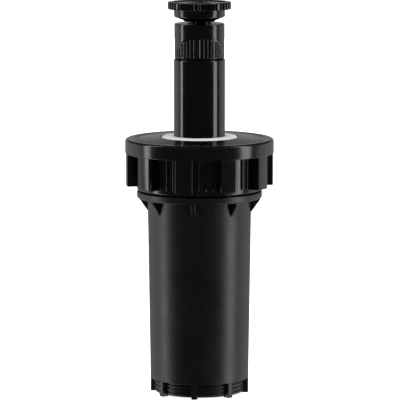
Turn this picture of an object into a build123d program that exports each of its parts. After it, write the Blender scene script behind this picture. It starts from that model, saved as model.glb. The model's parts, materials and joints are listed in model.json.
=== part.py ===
from build123d import *

import math
import os

# Pop-up spray sprinkler head, shown popped up. Millimetres, +Z up.
# The origin is on the head's axis, in the plane of the feet under the case.
# Two screw joints (cap on case, nozzle on riser), one sliding riser, one
# ratchet, one arc-setting deflector and one flow-setting screw.

os.makedirs("parts", exist_ok=True)

# ---- driving dimensions: case --------------------------------------------
WALL_FOOT_Z = 5.6          # lower edge of the case wall, above the foot ribs
LIP_BOTTOM_Z = 75.5        # flange lip under the cap
LIP_TOP_Z = 78.2
NECK_TOP_Z = 94.6
CASE_R_LOW = 18.85         # the wall tapers outwards, upwards
CASE_R_HIGH = 19.9
WALL = 2.0
LIP_R = 24.0
NECK_R = 20.6
SEAT_STEP_Z = 89.5         # shoulder in the neck that the seal stack sits on
SEAT_BORE_R = 18.9
SKIRT_R = 17.0
SKIRT_BOTTOM_Z = 0.5
FLOOR_Z = 8.2
GUSSET_COUNT = 8
GUSSET_PHASE = -6.25       # degrees from +X
GUSSET_DROP = 5.5
GUIDE_COUNT = 6            # splines inside the case that key the ratchet ring
GUIDE_R = 15.9
GUIDE_WIDTH = 1.6
GUIDE_TOP_Z = 87.0
SKIRT_WALL = 1.6
SKIRT_RIDGE = 0.45
SKIRT_RIDGES = (1.4, 2.9, 4.4)
FOOT_WIDTH = 2.2
STAY_WIDTH = 1.6           # stays between the foot ring and the inlet's boss
STAY_BOTTOM_Z = 1.5
GUSSET = 1.8

# ---- driving dimensions: inlet, 1/2 in female pipe thread -----------------
INLET_R = 9.16             # at the crests
INLET_GROOVE_R = 10.4
INLET_PITCH = 1.814
INLET_BOSS_R = 13.6
INLET_TOP_Z = 12.5
INLET_CHAMFER = 0.8
INLET_TURNS = 5.5
INLET_THREAD_Z = 1.6
INLET_ROOT = 0.85          # width of the groove at the bore, then at its bottom
INLET_CREST = 0.3

# ---- driving dimensions: cap ----------------------------------------------
CAP_TOP_Z = 98.3
CAP_BOTTOM_Z = 78.7
CAP_R = 28.5
CAP_PLATE = 2.5
CAP_EDGE = 1.0
BAND_BOTTOM_Z = 92.7       # the smooth band ends here and the grip lobes begin
LOBE_BOTTOM_Z = 80.2
LOBE_COUNT = 10
LOBE_ANGLE = 14.0
LOBE_PHASE = 5.6           # degrees from +X
LOBE_R = 28.2
CORE_R = 24.0
CAP_BORE_R = 22.0
CAP_HOLE_R = 14.7
CAP_PITCH = 3.2            # lift for one turn of the cap
CAP_THREAD_TURNS = 2.25
CAP_THREAD_Z = 82.4        # where the case's ridge starts
CAP_THREAD_DEPTH = 1.0
CAP_THREAD_ROOT = 1.6      # width of the ridge at its root, then at its crest
CAP_THREAD_CREST = 0.9
CAP_CROWN_Z = 98.95        # the plate rises to the hole in a shallow cone
CAP_CROWN_R = 23.2
CAP_LINE_RADII = (25.6, 24.3)
CAP_LINE = 0.6             # width of the two turned lines in the plate
CAP_LINE_DEPTH = 0.2
GRIP_RIB_STEP = 6.5        # fine ribs in each gap between the lobes, degrees apart
GRIP_RIB_ANGLE = 1.9
GRIP_RIB = 0.6

# ---- driving dimensions: seal stack and spring ------------------------------
SEAL_R = 14.35
SEAL_FLANGE_R = 18.6
SEAL_TOP_Z = 99.05
SEAL_LIP_Z = 99.3
SEAL_BOTTOM_Z = 91.6
RETAINER_R = 18.4
RING_CLEAR_R = 10.6        # hole of the rings that the riser runs through
SPRING_WASHER_R = 15.4
SPRING_WASHER = 1.0
SPRING_R = 12.3            # mean radius of the coil
SPRING_WIRE = 1.6
SPRING_TURNS = 9.5

# ---- driving dimensions: riser ----------------------------------------------
RISER_R = 9.8
RISER_BORE_R = 7.7
RISER_FOOT_Z = 61.6
RISER_FOOT_R = 15.2
RISER_FOOT_TOP_Z = 64.6
RISER_SHOULDER_Z = 128.9
NECK_ROOT_R = 7.35
NECK_CREST_R = 7.85
NECK_BORE_R = 6.2
RISER_TOP_Z = 137.1
RUN_GAP = 0.07             # running clearance of round fits
RATCHET_TEETH = 36
RATCHET_TOOTH = 0.7
RATCHET_R = 16.6
RATCHET_TOP_Z = 68.0
RATCHET_TOOTH_R_IN = 11.2
RATCHET_TOOTH_R_OUT = 14.4

# ---- driving dimensions: nozzle ---------------------------------------------
COLLAR_R = 9.6
COLLAR_BOTTOM_Z = 129.1
COLLAR_TOP_Z = 142.4
COLLAR_BORE_R = 8.0
COLLAR_CREST_R = 7.5
NOZZLE_PITCH = 0.907       # 28 turns to the inch
NOZZLE_THREAD_TURNS = 5.0
NOZZLE_THREAD_Z = 131.2
NOZZLE_THREAD_ROOT = 0.38
NOZZLE_THREAD_CREST = 0.2
GRIP_COUNT = 39
GRIP_BOTTOM_Z = 129.5
GRIP_PEAK_Z = 137.2
GRIP_VALLEY_Z = 133.6
GRIP_CUT_R = 0.5
ARCH_COUNT = 3
ARCH_HALF_ANGLE = 52.0
ARCH_PHASE = -87.0         # degrees from +X
WEB_Z = 138.7              # underside of the web that the washer seals on
SEAT_R = 6.35
SEAT_Z = 139.5
SEAT_FACE_Z = 142.4        # flush with the collar
SPRAY_START_Z = 141.9      # low end of the seat's spiral
SPRAY_LEAD = 0.8           # height of the spiral step that meters the arc
SPRAY_R = 4.75
HUB_R = 4.6
SPRAY_HOLE_R = 3.3
KEY_R = 3.0                # two keys under the seat run in the plug's slots
KEY_WIDTH = 1.4
KEY_BOTTOM_Z = 131.4
SPOKE_WIDTH = 0.8
STEP_ANGLE = 100.0         # where the seat's spiral starts, degrees from +X
ARC_SET = 180.0            # arc that the nozzle is set to
STEM_R = 1.9
CLIP_Z = 138.55
CLIP_HEIGHT = 0.5
CLIP_MOUTH = 1.6

# ---- driving dimensions: deflector, knob, screw -------------------------------
DISH_BOTTOM_Z = 143.2
DISH_FLAT_R = 6.0
DISH_R = 9.75
DISH_RIM_Z = 144.9
KNOB_BOTTOM_Z = 147.8
KNOB_TOP_Z = 150.6
KNOB_R = 12.15
KNOB_TEETH = 44
KNOB_NOTCH = 0.8           # side of the square cutter, set corner first
KNOB_NOTCH_DEPTH = 0.42
KNOB_RIM = 1.9
KNOB_DISH = 0.4            # depth of the face inside the rim
BOSS_R = 3.3
BOSS_TOP_Z = 149.9
STEM_BOTTOM_Z = 138.1
SCREW_R = 1.1
SCREW_HEAD_R = 2.2
SCREW_HEAD_Z = 148.5
SCREW_TOP_Z = 149.8
SCREW_BOTTOM_Z = 130.6
SCREW_SLOT = 0.7
O_RING_Z = 146.6
O_RING = 0.68
PLUG_R = 4.2
PLUG_Z = 133.0
PLUG_HEIGHT = 2.2
FILTER_R = 5.9
FILTER_MESH_R = 4.85
FILTER_BOTTOM_Z = 106.0
FILTER_FLANGE = 0.8
FILTER_BARS = 6
FILTER_BAR = 1.2
FILTER_FLOOR = 1.4
FILTER_HOOP_Z = 120.0
FILTER_SLEEVE = 3.5
FILTER_MESH = 0.2


def turned(points):
    """Solid of revolution about Z from (radius, height) or (radius, height, rounding) corners."""
    corners = [point[:2] for point in points]
    roundings = [point[2] if len(point) > 2 else 0 for point in points]
    if any(roundings):
        outline = FilletPolyline(*corners, radius=roundings, close=True)
    else:
        outline = Polyline(*corners, close=True)
    return revolve(Plane.XZ * make_face(outline), Axis.Z)


def ring(r_in, r_out, z_low, z_high):
    """Plain ring."""
    outside = Cylinder(r_out, z_high - z_low, align=(Align.CENTER, Align.CENTER, Align.MIN))
    hole = Cylinder(r_in, z_high - z_low, align=(Align.CENTER, Align.CENTER, Align.MIN))
    return Pos(0, 0, z_low) * (outside - hole)


def disc(r, z_low, z_high):
    """Plain disc."""
    return Pos(0, 0, z_low) * Cylinder(r, z_high - z_low, align=(Align.CENTER, Align.CENTER, Align.MIN))


def bar(r_in, r_out, width, z_low, z_high, angle):
    """Upright radial block, its middle plane at an angle from +X."""
    block = Pos((r_in + r_out) / 2, 0, (z_low + z_high) / 2) * Box(r_out - r_in, width, z_high - z_low)
    return Rot(0, 0, angle) * block


def angles(count, phase=0.0):
    """Evenly spaced angles round the axis."""
    return [phase + 360.0 * i / count for i in range(count)]


def sector(r_in, r_out, z_low, z_high, angle, width_deg):
    """Piece of a ring with radial side walls, its middle at an angle from +X."""
    half = math.radians(width_deg / 2)
    polar = ((r_in, -half), (r_out, -half), (r_out, half), (r_in, half))
    arm = [(r * math.cos(a), r * math.sin(a)) for r, a in polar]
    outer = ThreePointArc(arm[1], (r_out, 0), arm[2])
    inner = ThreePointArc(arm[3], (r_in, 0), arm[0])
    outline = make_face([Line(arm[0], arm[1]), outer, Line(arm[2], arm[3]), inner])
    return Rot(0, 0, angle) * Pos(0, 0, z_low) * extrude(outline, z_high - z_low)


def ridge(r_root, r_crest, pitch, turns, z_start, w_root, w_crest, angle=0.0, overlap=0.3):
    """Helical thread ridge (or groove cutter) rising right-handed from z_start."""
    path = Helix(pitch=pitch, height=pitch * turns, radius=r_root)
    depth = r_crest - r_root
    back = -math.copysign(overlap, depth)
    plane = Plane(origin=path @ 0, x_dir=(1, 0, 0), z_dir=(0, -1, 0))
    corners = ((back, -w_root / 2), (depth, -w_crest / 2), (depth, w_crest / 2), (back, w_root / 2))
    profile = plane * Polygon(*corners, align=None)
    return Rot(0, 0, angle) * Pos(0, 0, z_start) * sweep(profile, path=path, is_frenet=True)


def ratchet_crown(z_face, height, half_turned):
    """Ring of shallow radial teeth standing up from (or hanging under) a face."""
    pitch = math.radians(360.0 / RATCHET_TEETH)
    sink = -math.copysign(0.2, height)
    ends = []
    for r in (RATCHET_TOOTH_R_IN, RATCHET_TOOTH_R_OUT):
        foot = r * pitch * 0.46
        tip = foot * 0.2
        plane = Plane(origin=(r, 0, z_face), x_dir=(0, 1, 0), z_dir=(1, 0, 0))
        ends.append(plane * Polygon((-foot, sink), (foot, sink), (tip, height), (-tip, height), align=None))
    tooth = loft(ends)
    phase = 180.0 / RATCHET_TEETH if half_turned else 0.0
    return [Rot(0, 0, angle) * tooth for angle in angles(RATCHET_TEETH, phase)]


# ---- case ---------------------------------------------------------------------
def inner_r(z):
    """Bore radius of the tapering case wall."""
    share = (z - WALL_FOOT_Z) / (LIP_BOTTOM_Z - WALL_FOOT_Z)
    return CASE_R_LOW - WALL + share * (CASE_R_HIGH - CASE_R_LOW)


def body_case():
    """Case: tapered barrel, threaded neck, flange lip, gussets, splines, threaded inlet."""
    bore_top = CASE_R_HIGH - WALL
    wall = turned([
        (INLET_BOSS_R - 0.5, WALL_FOOT_Z), (CASE_R_LOW, WALL_FOOT_Z, 0.4),
        (CASE_R_HIGH, LIP_BOTTOM_Z, 0.4), (LIP_R, LIP_BOTTOM_Z, 0.6), (LIP_R, LIP_TOP_Z, 0.3),
        (NECK_R, LIP_TOP_Z), (NECK_R, NECK_TOP_Z, 0.4), (SEAT_BORE_R, NECK_TOP_Z, 0.2),
        (SEAT_BORE_R, SEAT_STEP_Z), (bore_top, SEAT_STEP_Z), (bore_top, LIP_BOTTOM_Z),
        (inner_r(FLOOR_Z), FLOOR_Z), (INLET_BOSS_R - 0.5, FLOOR_Z),
    ])
    boss = turned([
        (INLET_R + INLET_CHAMFER, 0), (INLET_BOSS_R, 0, 0.3), (INLET_BOSS_R, INLET_TOP_Z, 0.4),
        (INLET_R, INLET_TOP_Z), (INLET_R, INLET_CHAMFER),
    ])
    skirt_in = SKIRT_R - SKIRT_WALL
    skirt_top = WALL_FOOT_Z + 0.3
    ridged = [(skirt_in, SKIRT_BOTTOM_Z), (SKIRT_R - 0.2, SKIRT_BOTTOM_Z), (SKIRT_R, SKIRT_BOTTOM_Z + 0.2)]
    for z in SKIRT_RIDGES:
        crest = SKIRT_R + SKIRT_RIDGE
        ridged += [(SKIRT_R, z - 0.4), (crest, z - 0.1), (crest, z + 0.1), (SKIRT_R, z + 0.4)]
    skirt = turned(ridged + [(SKIRT_R, skirt_top), (skirt_in, skirt_top)])
    gusset_in = CASE_R_HIGH - 1.0
    gusset_out = LIP_R - 0.6
    gusset_foot = LIP_BOTTOM_Z - GUSSET_DROP
    gusset = Plane.XZ * make_face(Polyline(
        (gusset_in, LIP_BOTTOM_Z + 0.2), (gusset_out, LIP_BOTTOM_Z + 0.2), (gusset_out, LIP_BOTTOM_Z - 0.6),
        (CASE_R_HIGH, gusset_foot), (gusset_in, gusset_foot), close=True))
    solids = [boss, skirt]
    for angle in angles(GUSSET_COUNT, GUSSET_PHASE):
        solids.append(Rot(0, 0, angle) * extrude(gusset, GUSSET / 2, both=True))
        solids.append(bar(SKIRT_R - 1.0, CASE_R_LOW, FOOT_WIDTH, 0, skirt_top, angle))
        solids.append(bar(INLET_BOSS_R - 0.5, SKIRT_R - 1.0, STAY_WIDTH, STAY_BOTTOM_Z, skirt_top, angle))
    for angle in angles(GUIDE_COUNT, 30.0):
        solids.append(bar(GUIDE_R, bore_top + 0.3, GUIDE_WIDTH, FLOOR_Z - 0.5, GUIDE_TOP_Z, angle))
    solids.append(ridge(NECK_R, NECK_R + CAP_THREAD_DEPTH, CAP_PITCH, CAP_THREAD_TURNS, CAP_THREAD_Z,
                        CAP_THREAD_ROOT, CAP_THREAD_CREST))
    groove = ridge(INLET_R, INLET_GROOVE_R, INLET_PITCH, INLET_TURNS, INLET_THREAD_Z, INLET_ROOT, INLET_CREST)
    return wall + solids - groove


# ---- cap ----------------------------------------------------------------------
def cap():
    """Threaded cap: coned plate, smooth band, grip lobes and fine ribs on a threaded core ring."""
    plate_bottom = CAP_TOP_Z - CAP_PLATE
    line_z = CAP_TOP_Z - CAP_LINE_DEPTH
    lines = []
    for r in CAP_LINE_RADII:
        lines += [(r, CAP_TOP_Z), (r - CAP_LINE / 4, line_z), (r - CAP_LINE * 3 / 4, line_z),
                  (r - CAP_LINE, CAP_TOP_Z)]
    lines.append((CAP_CROWN_R, CAP_TOP_Z))
    shell = turned([
        (CAP_HOLE_R, CAP_CROWN_Z, 0.3), (CAP_HOLE_R, plate_bottom),
        (CAP_BORE_R, plate_bottom), (CAP_BORE_R, CAP_BOTTOM_Z + 0.5), (CAP_BORE_R + 0.5, CAP_BOTTOM_Z),
        (CORE_R, CAP_BOTTOM_Z, 0.4), (CORE_R, plate_bottom), (CAP_R - 1.8, plate_bottom),
        (CAP_R - 1.8, BAND_BOTTOM_Z), (CAP_R, BAND_BOTTOM_Z, 0.4), (CAP_R, CAP_TOP_Z, CAP_EDGE)] + lines)
    solids = []
    for angle in angles(LOBE_COUNT, LOBE_PHASE):
        solids.append(sector(CORE_R - 0.5, LOBE_R, LOBE_BOTTOM_Z, plate_bottom + 0.3, angle, LOBE_ANGLE))
        gap = angle + 180.0 / LOBE_COUNT
        for turn in (-GRIP_RIB_STEP, 0, GRIP_RIB_STEP):
            solids.append(sector(CORE_R - 0.3, CORE_R + GRIP_RIB, LOBE_BOTTOM_Z, plate_bottom + 0.3,
                                 gap + turn, GRIP_RIB_ANGLE))
    solids.append(ridge(CAP_BORE_R, CAP_BORE_R - CAP_THREAD_DEPTH - 0.05, CAP_PITCH, CAP_THREAD_TURNS,
                        CAP_THREAD_Z - CAP_PITCH / 2, CAP_THREAD_ROOT, CAP_THREAD_CREST))
    return shell + solids


# ---- seal stack -----------------------------------------------------------------
def cap_gasket():
    """Flat gasket between the case's rim and the cap's plate."""
    return ring(SEAT_BORE_R + 0.3, NECK_R - 0.3, NECK_TOP_Z, CAP_TOP_Z - CAP_PLATE)


def wiper_seal():
    """Wiper seal: clamped flange, neck through the cap's hole, sloping lip on the riser."""
    lip_r = RISER_R + RUN_GAP
    return turned([
        (lip_r, SEAL_BOTTOM_Z + 0.6), (lip_r + 0.5, SEAL_BOTTOM_Z), (SEAL_FLANGE_R, SEAL_BOTTOM_Z),
        (SEAL_FLANGE_R, CAP_TOP_Z - CAP_PLATE), (SEAL_R, CAP_TOP_Z - CAP_PLATE),
        (SEAL_R, SEAL_TOP_Z, 0.35), (lip_r + 0.7, SEAL_LIP_Z, 0.3), (lip_r, SEAL_LIP_Z, 0.2),
        (lip_r, SEAL_LIP_Z - 1.0), (lip_r + 1.3, SEAL_LIP_Z - 2.2), (lip_r + 1.3, SEAL_BOTTOM_Z + 2.0),
        (lip_r, SEAL_BOTTOM_Z + 1.4),
    ])


def seal_retainer():
    """Hard ring that backs the seal and sits on the shoulder in the neck."""
    return turned([
        (RING_CLEAR_R, SEAT_STEP_Z, 0.3), (RETAINER_R, SEAT_STEP_Z), (RETAINER_R, SEAL_BOTTOM_Z, 0.3),
        (RING_CLEAR_R, SEAL_BOTTOM_Z, 0.2),
    ])


def spring_top_washer():
    """Steel washer between the spring and the retainer."""
    return ring(RING_CLEAR_R, SPRING_WASHER_R, SEAT_STEP_Z - SPRING_WASHER, SEAT_STEP_Z)


def retraction_spring():
    """Compression spring, shown squeezed between the washer and the ratchet ring."""
    low = RATCHET_TOP_Z + SPRING_WIRE / 2
    high = SEAT_STEP_Z - SPRING_WASHER - SPRING_WIRE / 2
    path = Helix(pitch=(high - low) / SPRING_TURNS, height=high - low, radius=SPRING_R)
    section = Plane(origin=path @ 0, z_dir=path % 0) * Circle(SPRING_WIRE / 2)
    return Pos(0, 0, low) * sweep(section, path=path, is_frenet=True)


# ---- ratchet and riser ------------------------------------------------------------
def ratchet_ring():
    """Ratchet ring: notches run on the case's splines, teeth underneath hold the riser's aim."""
    face_z = RISER_FOOT_TOP_Z + RATCHET_TOOTH + 0.1
    body = ring(RISER_R + 0.3, RATCHET_R, face_z, RATCHET_TOP_Z)
    notches = [bar(GUIDE_R - 0.3, RATCHET_R + 1, GUIDE_WIDTH + 0.6, face_z - 1, RATCHET_TOP_Z + 1, angle)
               for angle in angles(GUIDE_COUNT, 30.0)]
    return body - notches + ratchet_crown(face_z, -RATCHET_TOOTH, True)


def riser_tube():
    """Riser: tube with a toothed foot flange and a threaded neck for the nozzle."""
    tube = turned([
        (RISER_BORE_R, RISER_FOOT_Z, 0.4), (RISER_FOOT_R, RISER_FOOT_Z, 0.5),
        (RISER_FOOT_R, RISER_FOOT_TOP_Z), (RISER_R, RISER_FOOT_TOP_Z), (RISER_R, RISER_SHOULDER_Z, 0.5),
        (NECK_ROOT_R, RISER_SHOULDER_Z), (NECK_ROOT_R, RISER_TOP_Z, 0.3), (NECK_BORE_R, RISER_TOP_Z),
        (NECK_BORE_R, RISER_SHOULDER_Z - 2.0), (RISER_BORE_R, RISER_SHOULDER_Z - 3.5),
    ])
    thread = ridge(NECK_ROOT_R, NECK_CREST_R, NOZZLE_PITCH, NOZZLE_THREAD_TURNS, NOZZLE_THREAD_Z,
                   NOZZLE_THREAD_ROOT, NOZZLE_THREAD_CREST)
    return tube + ratchet_crown(RISER_FOOT_TOP_Z, RATCHET_TOOTH, False) + thread


def filter_frame():
    """Filter basket hung in the riser from a flange on the neck's rim."""
    flange = ring(PLUG_R + 0.3, NECK_ROOT_R, RISER_TOP_Z, RISER_TOP_Z + FILTER_FLANGE)
    inside = FILTER_MESH_R + 0.05
    sleeve = ring(inside, FILTER_R, RISER_TOP_Z - FILTER_SLEEVE, RISER_TOP_Z + 0.2)
    hoop = ring(inside, FILTER_R, FILTER_HOOP_Z, FILTER_HOOP_Z + FILTER_BAR)
    floor = disc(FILTER_R, FILTER_BOTTOM_Z, FILTER_BOTTOM_Z + FILTER_FLOOR)
    bars = [bar(inside, FILTER_R, FILTER_BAR, FILTER_BOTTOM_Z + 0.5, RISER_TOP_Z - FILTER_SLEEVE + 0.5, angle)
            for angle in angles(FILTER_BARS)]
    return flange + [sleeve, hoop, floor] + bars


def filter_mesh():
    """Filter screen sleeve inside the basket's bars."""
    return ring(FILTER_MESH_R - FILTER_MESH, FILTER_MESH_R, FILTER_BOTTOM_Z + FILTER_FLOOR, RISER_TOP_Z)


# ---- nozzle ---------------------------------------------------------------------
def nozzle_washer():
    """Soft washer that the nozzle squeezes on the filter's flange."""
    return ring(PLUG_R + 0.4, NECK_ROOT_R, RISER_TOP_Z + FILTER_FLANGE, WEB_Z)


def arch_top(angle):
    """Height of the grip zone's arched upper edge at an angle from +X."""
    step = 360.0 / ARCH_COUNT
    off = (angle - ARCH_PHASE + step / 2) % step - step / 2
    share = min(abs(off) / ARCH_HALF_ANGLE, 1.0)
    return GRIP_VALLEY_Z + (GRIP_PEAK_Z - GRIP_VALLEY_Z) * math.sqrt(1 - share ** 2)


def nozzle_collar():
    """Nozzle base: threaded collar with arched grip zones and a web for the spray seat."""
    body = turned([
        (COLLAR_BORE_R + 0.4, COLLAR_BOTTOM_Z), (COLLAR_R, COLLAR_BOTTOM_Z, 0.3),
        (COLLAR_R, COLLAR_TOP_Z, 0.35), (SEAT_R, COLLAR_TOP_Z), (SEAT_R, SEAT_Z), (SEAT_R - 0.8, SEAT_Z),
        (SEAT_R - 0.8, WEB_Z), (NECK_ROOT_R + 0.25, WEB_Z), (NECK_ROOT_R + 0.25, RISER_TOP_Z + 0.3),
        (COLLAR_BORE_R, RISER_TOP_Z - 0.1), (COLLAR_BORE_R, COLLAR_BOTTOM_Z + 0.4),
    ])
    grooves = []
    for angle in angles(GRIP_COUNT, ARCH_PHASE):
        top = arch_top(angle)
        cutter = Pos(COLLAR_R + 0.12, 0, 0) * disc(GRIP_CUT_R, GRIP_BOTTOM_Z, top)
        grooves.append(Rot(0, 0, angle) * cutter)
    thread = ridge(COLLAR_BORE_R, COLLAR_CREST_R, NOZZLE_PITCH, NOZZLE_THREAD_TURNS,
                   NOZZLE_THREAD_Z + NOZZLE_PITCH / 2, NOZZLE_THREAD_ROOT, NOZZLE_THREAD_CREST)
    return body - grooves + thread


def spiral(r_in, r_out, start_angle, z_start, height):
    """Spiral ramp of the spray lead: two half turns, up (or down) from a climbing face."""
    rise = SPRAY_LEAD / 2
    half = (r_out - r_in) / 2
    path = Helix(pitch=SPRAY_LEAD, height=rise, radius=(r_in + r_out) / 2)
    plane = Plane(origin=path @ 0, x_dir=(1, 0, 0), z_dir=(0, -1, 0))
    profile = plane * Polygon((-half, 0), (half, 0), (half, height), (-half, height), align=None)
    ramp = sweep(profile, path=path, is_frenet=True)
    return [Rot(0, 0, start_angle + turn * 180) * Pos(0, 0, z_start + turn * rise) * ramp for turn in (0, 1)]


def spray_seat():
    """Insert with the lower spiral of the spray slot, stem guide and two plug keys."""
    body = ring(SPRAY_HOLE_R, SEAT_R, SEAT_Z, SPRAY_START_Z) + ring(SPRAY_R, SEAT_R, SEAT_Z, SEAT_FACE_Z)
    ramp = spiral(SPRAY_HOLE_R + 0.05, SPRAY_R + 0.05, STEP_ANGLE, SPRAY_START_Z, -1.2)
    guide_top = SPRAY_START_Z - 0.9
    outside = SPRAY_HOLE_R + 0.4
    guide = ring(STEM_R + RUN_GAP, STEM_R + 0.8, SEAT_Z, guide_top)
    spokes = [bar(STEM_R + 0.5, outside, SPOKE_WIDTH, SEAT_Z, guide_top, angle) for angle in angles(4, 45)]
    keys = [bar(KEY_R, outside, KEY_WIDTH, KEY_BOTTOM_Z, SEAT_Z + 0.8, angle) for angle in angles(2)]
    return body + ramp + [guide] + spokes + keys


def deflector_clip():
    """Split clip in the stem's groove, under the seat's guide."""
    clip = ring(STEM_R - 0.3, STEM_R + 0.85, CLIP_Z, CLIP_Z + CLIP_HEIGHT)
    return clip - bar(0.5, STEM_R + 2, CLIP_MOUTH, CLIP_Z - 1, CLIP_Z + CLIP_HEIGHT + 1, 90)


def deflector():
    """Deflector: dish with a spiral hub underneath, stem and screw boss."""
    dish = turned([
        (STEM_R - 0.5, DISH_BOTTOM_Z), (DISH_FLAT_R, DISH_BOTTOM_Z),
        (DISH_FLAT_R + 0.15, DISH_BOTTOM_Z + 0.35),
        (DISH_R, DISH_RIM_Z, 0.6), (DISH_R, KNOB_BOTTOM_Z), (DISH_R - 1.3, KNOB_BOTTOM_Z),
        (DISH_R - 1.3, DISH_RIM_Z + 1.1), (BOSS_R, DISH_BOTTOM_Z + 1.9), (BOSS_R, BOSS_TOP_Z, 0.2),
        (STEM_R - 0.5, BOSS_TOP_Z),
    ])
    stem = ring(SCREW_R + RUN_GAP, STEM_R, STEM_BOTTOM_Z, DISH_BOTTOM_Z + 1)
    stem_groove = ring(STEM_R - 0.35, STEM_R + 1, CLIP_Z - 0.05, CLIP_Z + CLIP_HEIGHT + 0.05)
    hub_start = STEP_ANGLE + ARC_SET
    hub_low = SPRAY_START_Z + SPRAY_LEAD * ARC_SET / 360.0 + 0.04
    hub = spiral(STEM_R - 0.3, HUB_R, hub_start, hub_low, DISH_BOTTOM_Z + 0.9 - hub_low - SPRAY_LEAD)
    head_recess = disc(SCREW_HEAD_R + 0.1, SCREW_HEAD_Z, BOSS_TOP_Z + 1)
    ring_recess = disc(STEM_R, O_RING_Z - 0.4, SCREW_HEAD_Z)
    bore = disc(SCREW_R + RUN_GAP, STEM_BOTTOM_Z, BOSS_TOP_Z + 1)
    return dish + [stem] + hub - [head_recess, ring_recess, bore, stem_groove]


def arc_ring():
    """Knob that sets the arc: disc with a finely toothed rim, snapped on the deflector."""
    blank = turned([
        (BOSS_R, KNOB_BOTTOM_Z), (KNOB_R, KNOB_BOTTOM_Z, 0.4), (KNOB_R, KNOB_TOP_Z, 0.5),
        (KNOB_R - KNOB_RIM, KNOB_TOP_Z), (KNOB_R - KNOB_RIM - 0.3, KNOB_TOP_Z - KNOB_DISH),
        (BOSS_R + 1.3, KNOB_TOP_Z - KNOB_DISH),
        (BOSS_R + 1.0, KNOB_TOP_Z - 0.1), (BOSS_R, KNOB_TOP_Z - 0.1, 0.2),
    ])
    notch = Rot(0, 0, 45) * Box(KNOB_NOTCH, KNOB_NOTCH, 4)
    notch_r = KNOB_R - KNOB_NOTCH_DEPTH + KNOB_NOTCH / math.sqrt(2)
    notches = [Rot(0, 0, angle) * Pos(notch_r, 0, (KNOB_BOTTOM_Z + KNOB_TOP_Z) / 2) * notch
               for angle in angles(KNOB_TEETH)]
    return blank - notches


def flow_screw():
    """Slotted flow-setting screw, captive in the deflector."""
    head = turned([
        (0, SCREW_HEAD_Z), (SCREW_HEAD_R, SCREW_HEAD_Z), (SCREW_HEAD_R, SCREW_TOP_Z, 0.3), (0, SCREW_TOP_Z),
    ])
    slot = Pos(0, 0, SCREW_TOP_Z) * Box(3 * SCREW_HEAD_R, SCREW_SLOT, 1.2)
    return head + disc(SCREW_R, SCREW_BOTTOM_Z, SCREW_HEAD_Z + 0.2) - slot


def screw_o_ring():
    """O-ring round the screw, in the deflector's recess."""
    return Pos(0, 0, O_RING_Z) * Torus(SCREW_R + O_RING / 2 + 0.04, O_RING / 2)


def throttle_plug():
    """Plug on the screw that closes on the filter's flange to throttle the flow."""
    body = turned([(SCREW_R + RUN_GAP, PLUG_Z), (PLUG_R, PLUG_Z, 0.3),
                   (PLUG_R, PLUG_Z + PLUG_HEIGHT - 0.7), (PLUG_R - 0.7, PLUG_Z + PLUG_HEIGHT),
                   (SCREW_R + RUN_GAP, PLUG_Z + PLUG_HEIGHT)])
    slots = [bar(2.75, PLUG_R + 1, 1.8, PLUG_Z - 1, PLUG_Z + PLUG_HEIGHT + 1, angle) for angle in angles(2)]
    return body - slots


PIECES = (
    body_case, cap, cap_gasket, wiper_seal, seal_retainer, spring_top_washer, retraction_spring,
    ratchet_ring, riser_tube, filter_frame, filter_mesh, nozzle_washer, nozzle_collar, spray_seat,
    deflector_clip, deflector, arc_ring, flow_screw, screw_o_ring, throttle_plug,
)

for make in PIECES:
    piece = make()
    solids = piece.solids()
    print(make.__name__, len(solids), round(sum(s.volume for s in solids), 1))
    export_step(solids[0], f"parts/{make.__name__}.step")
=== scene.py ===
import json
import math

import bmesh
import bpy
import numpy as np
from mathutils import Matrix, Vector

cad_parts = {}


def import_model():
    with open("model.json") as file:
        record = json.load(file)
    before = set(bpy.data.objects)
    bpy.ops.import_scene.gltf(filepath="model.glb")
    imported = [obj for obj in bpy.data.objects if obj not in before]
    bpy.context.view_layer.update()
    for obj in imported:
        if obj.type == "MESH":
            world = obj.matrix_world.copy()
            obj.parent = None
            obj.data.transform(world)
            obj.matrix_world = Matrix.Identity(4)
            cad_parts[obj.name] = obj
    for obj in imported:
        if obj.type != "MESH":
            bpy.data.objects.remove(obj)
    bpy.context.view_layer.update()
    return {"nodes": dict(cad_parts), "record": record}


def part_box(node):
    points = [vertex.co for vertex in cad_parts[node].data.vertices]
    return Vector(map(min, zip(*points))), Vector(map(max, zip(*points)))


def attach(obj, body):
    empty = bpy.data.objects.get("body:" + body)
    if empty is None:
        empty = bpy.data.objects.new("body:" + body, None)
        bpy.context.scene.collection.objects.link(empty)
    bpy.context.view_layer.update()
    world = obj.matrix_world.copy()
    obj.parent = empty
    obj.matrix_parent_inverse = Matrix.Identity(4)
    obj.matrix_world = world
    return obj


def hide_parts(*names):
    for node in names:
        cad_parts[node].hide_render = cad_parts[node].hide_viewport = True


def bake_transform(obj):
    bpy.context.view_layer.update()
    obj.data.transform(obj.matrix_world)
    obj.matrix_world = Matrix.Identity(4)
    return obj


# Looks of the pop-up sprinkler head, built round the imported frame. Lengths are millimetres
# in the frame's own axes until a mesh is made: Z runs up the riser, the camera stands at -Y.

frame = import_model()

MM = 0.001
TURN = 2 * math.pi
NEAR = 0.01                # mm, for telling which points of an outline lie on a face
OVERLAP = 0.3              # mm that one shell of a piece reaches into the next


def box_mm(node):
    """Lowest and highest corner of a CAD node, in millimetres."""
    low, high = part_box(node)
    return low * 1000, high * 1000


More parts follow.
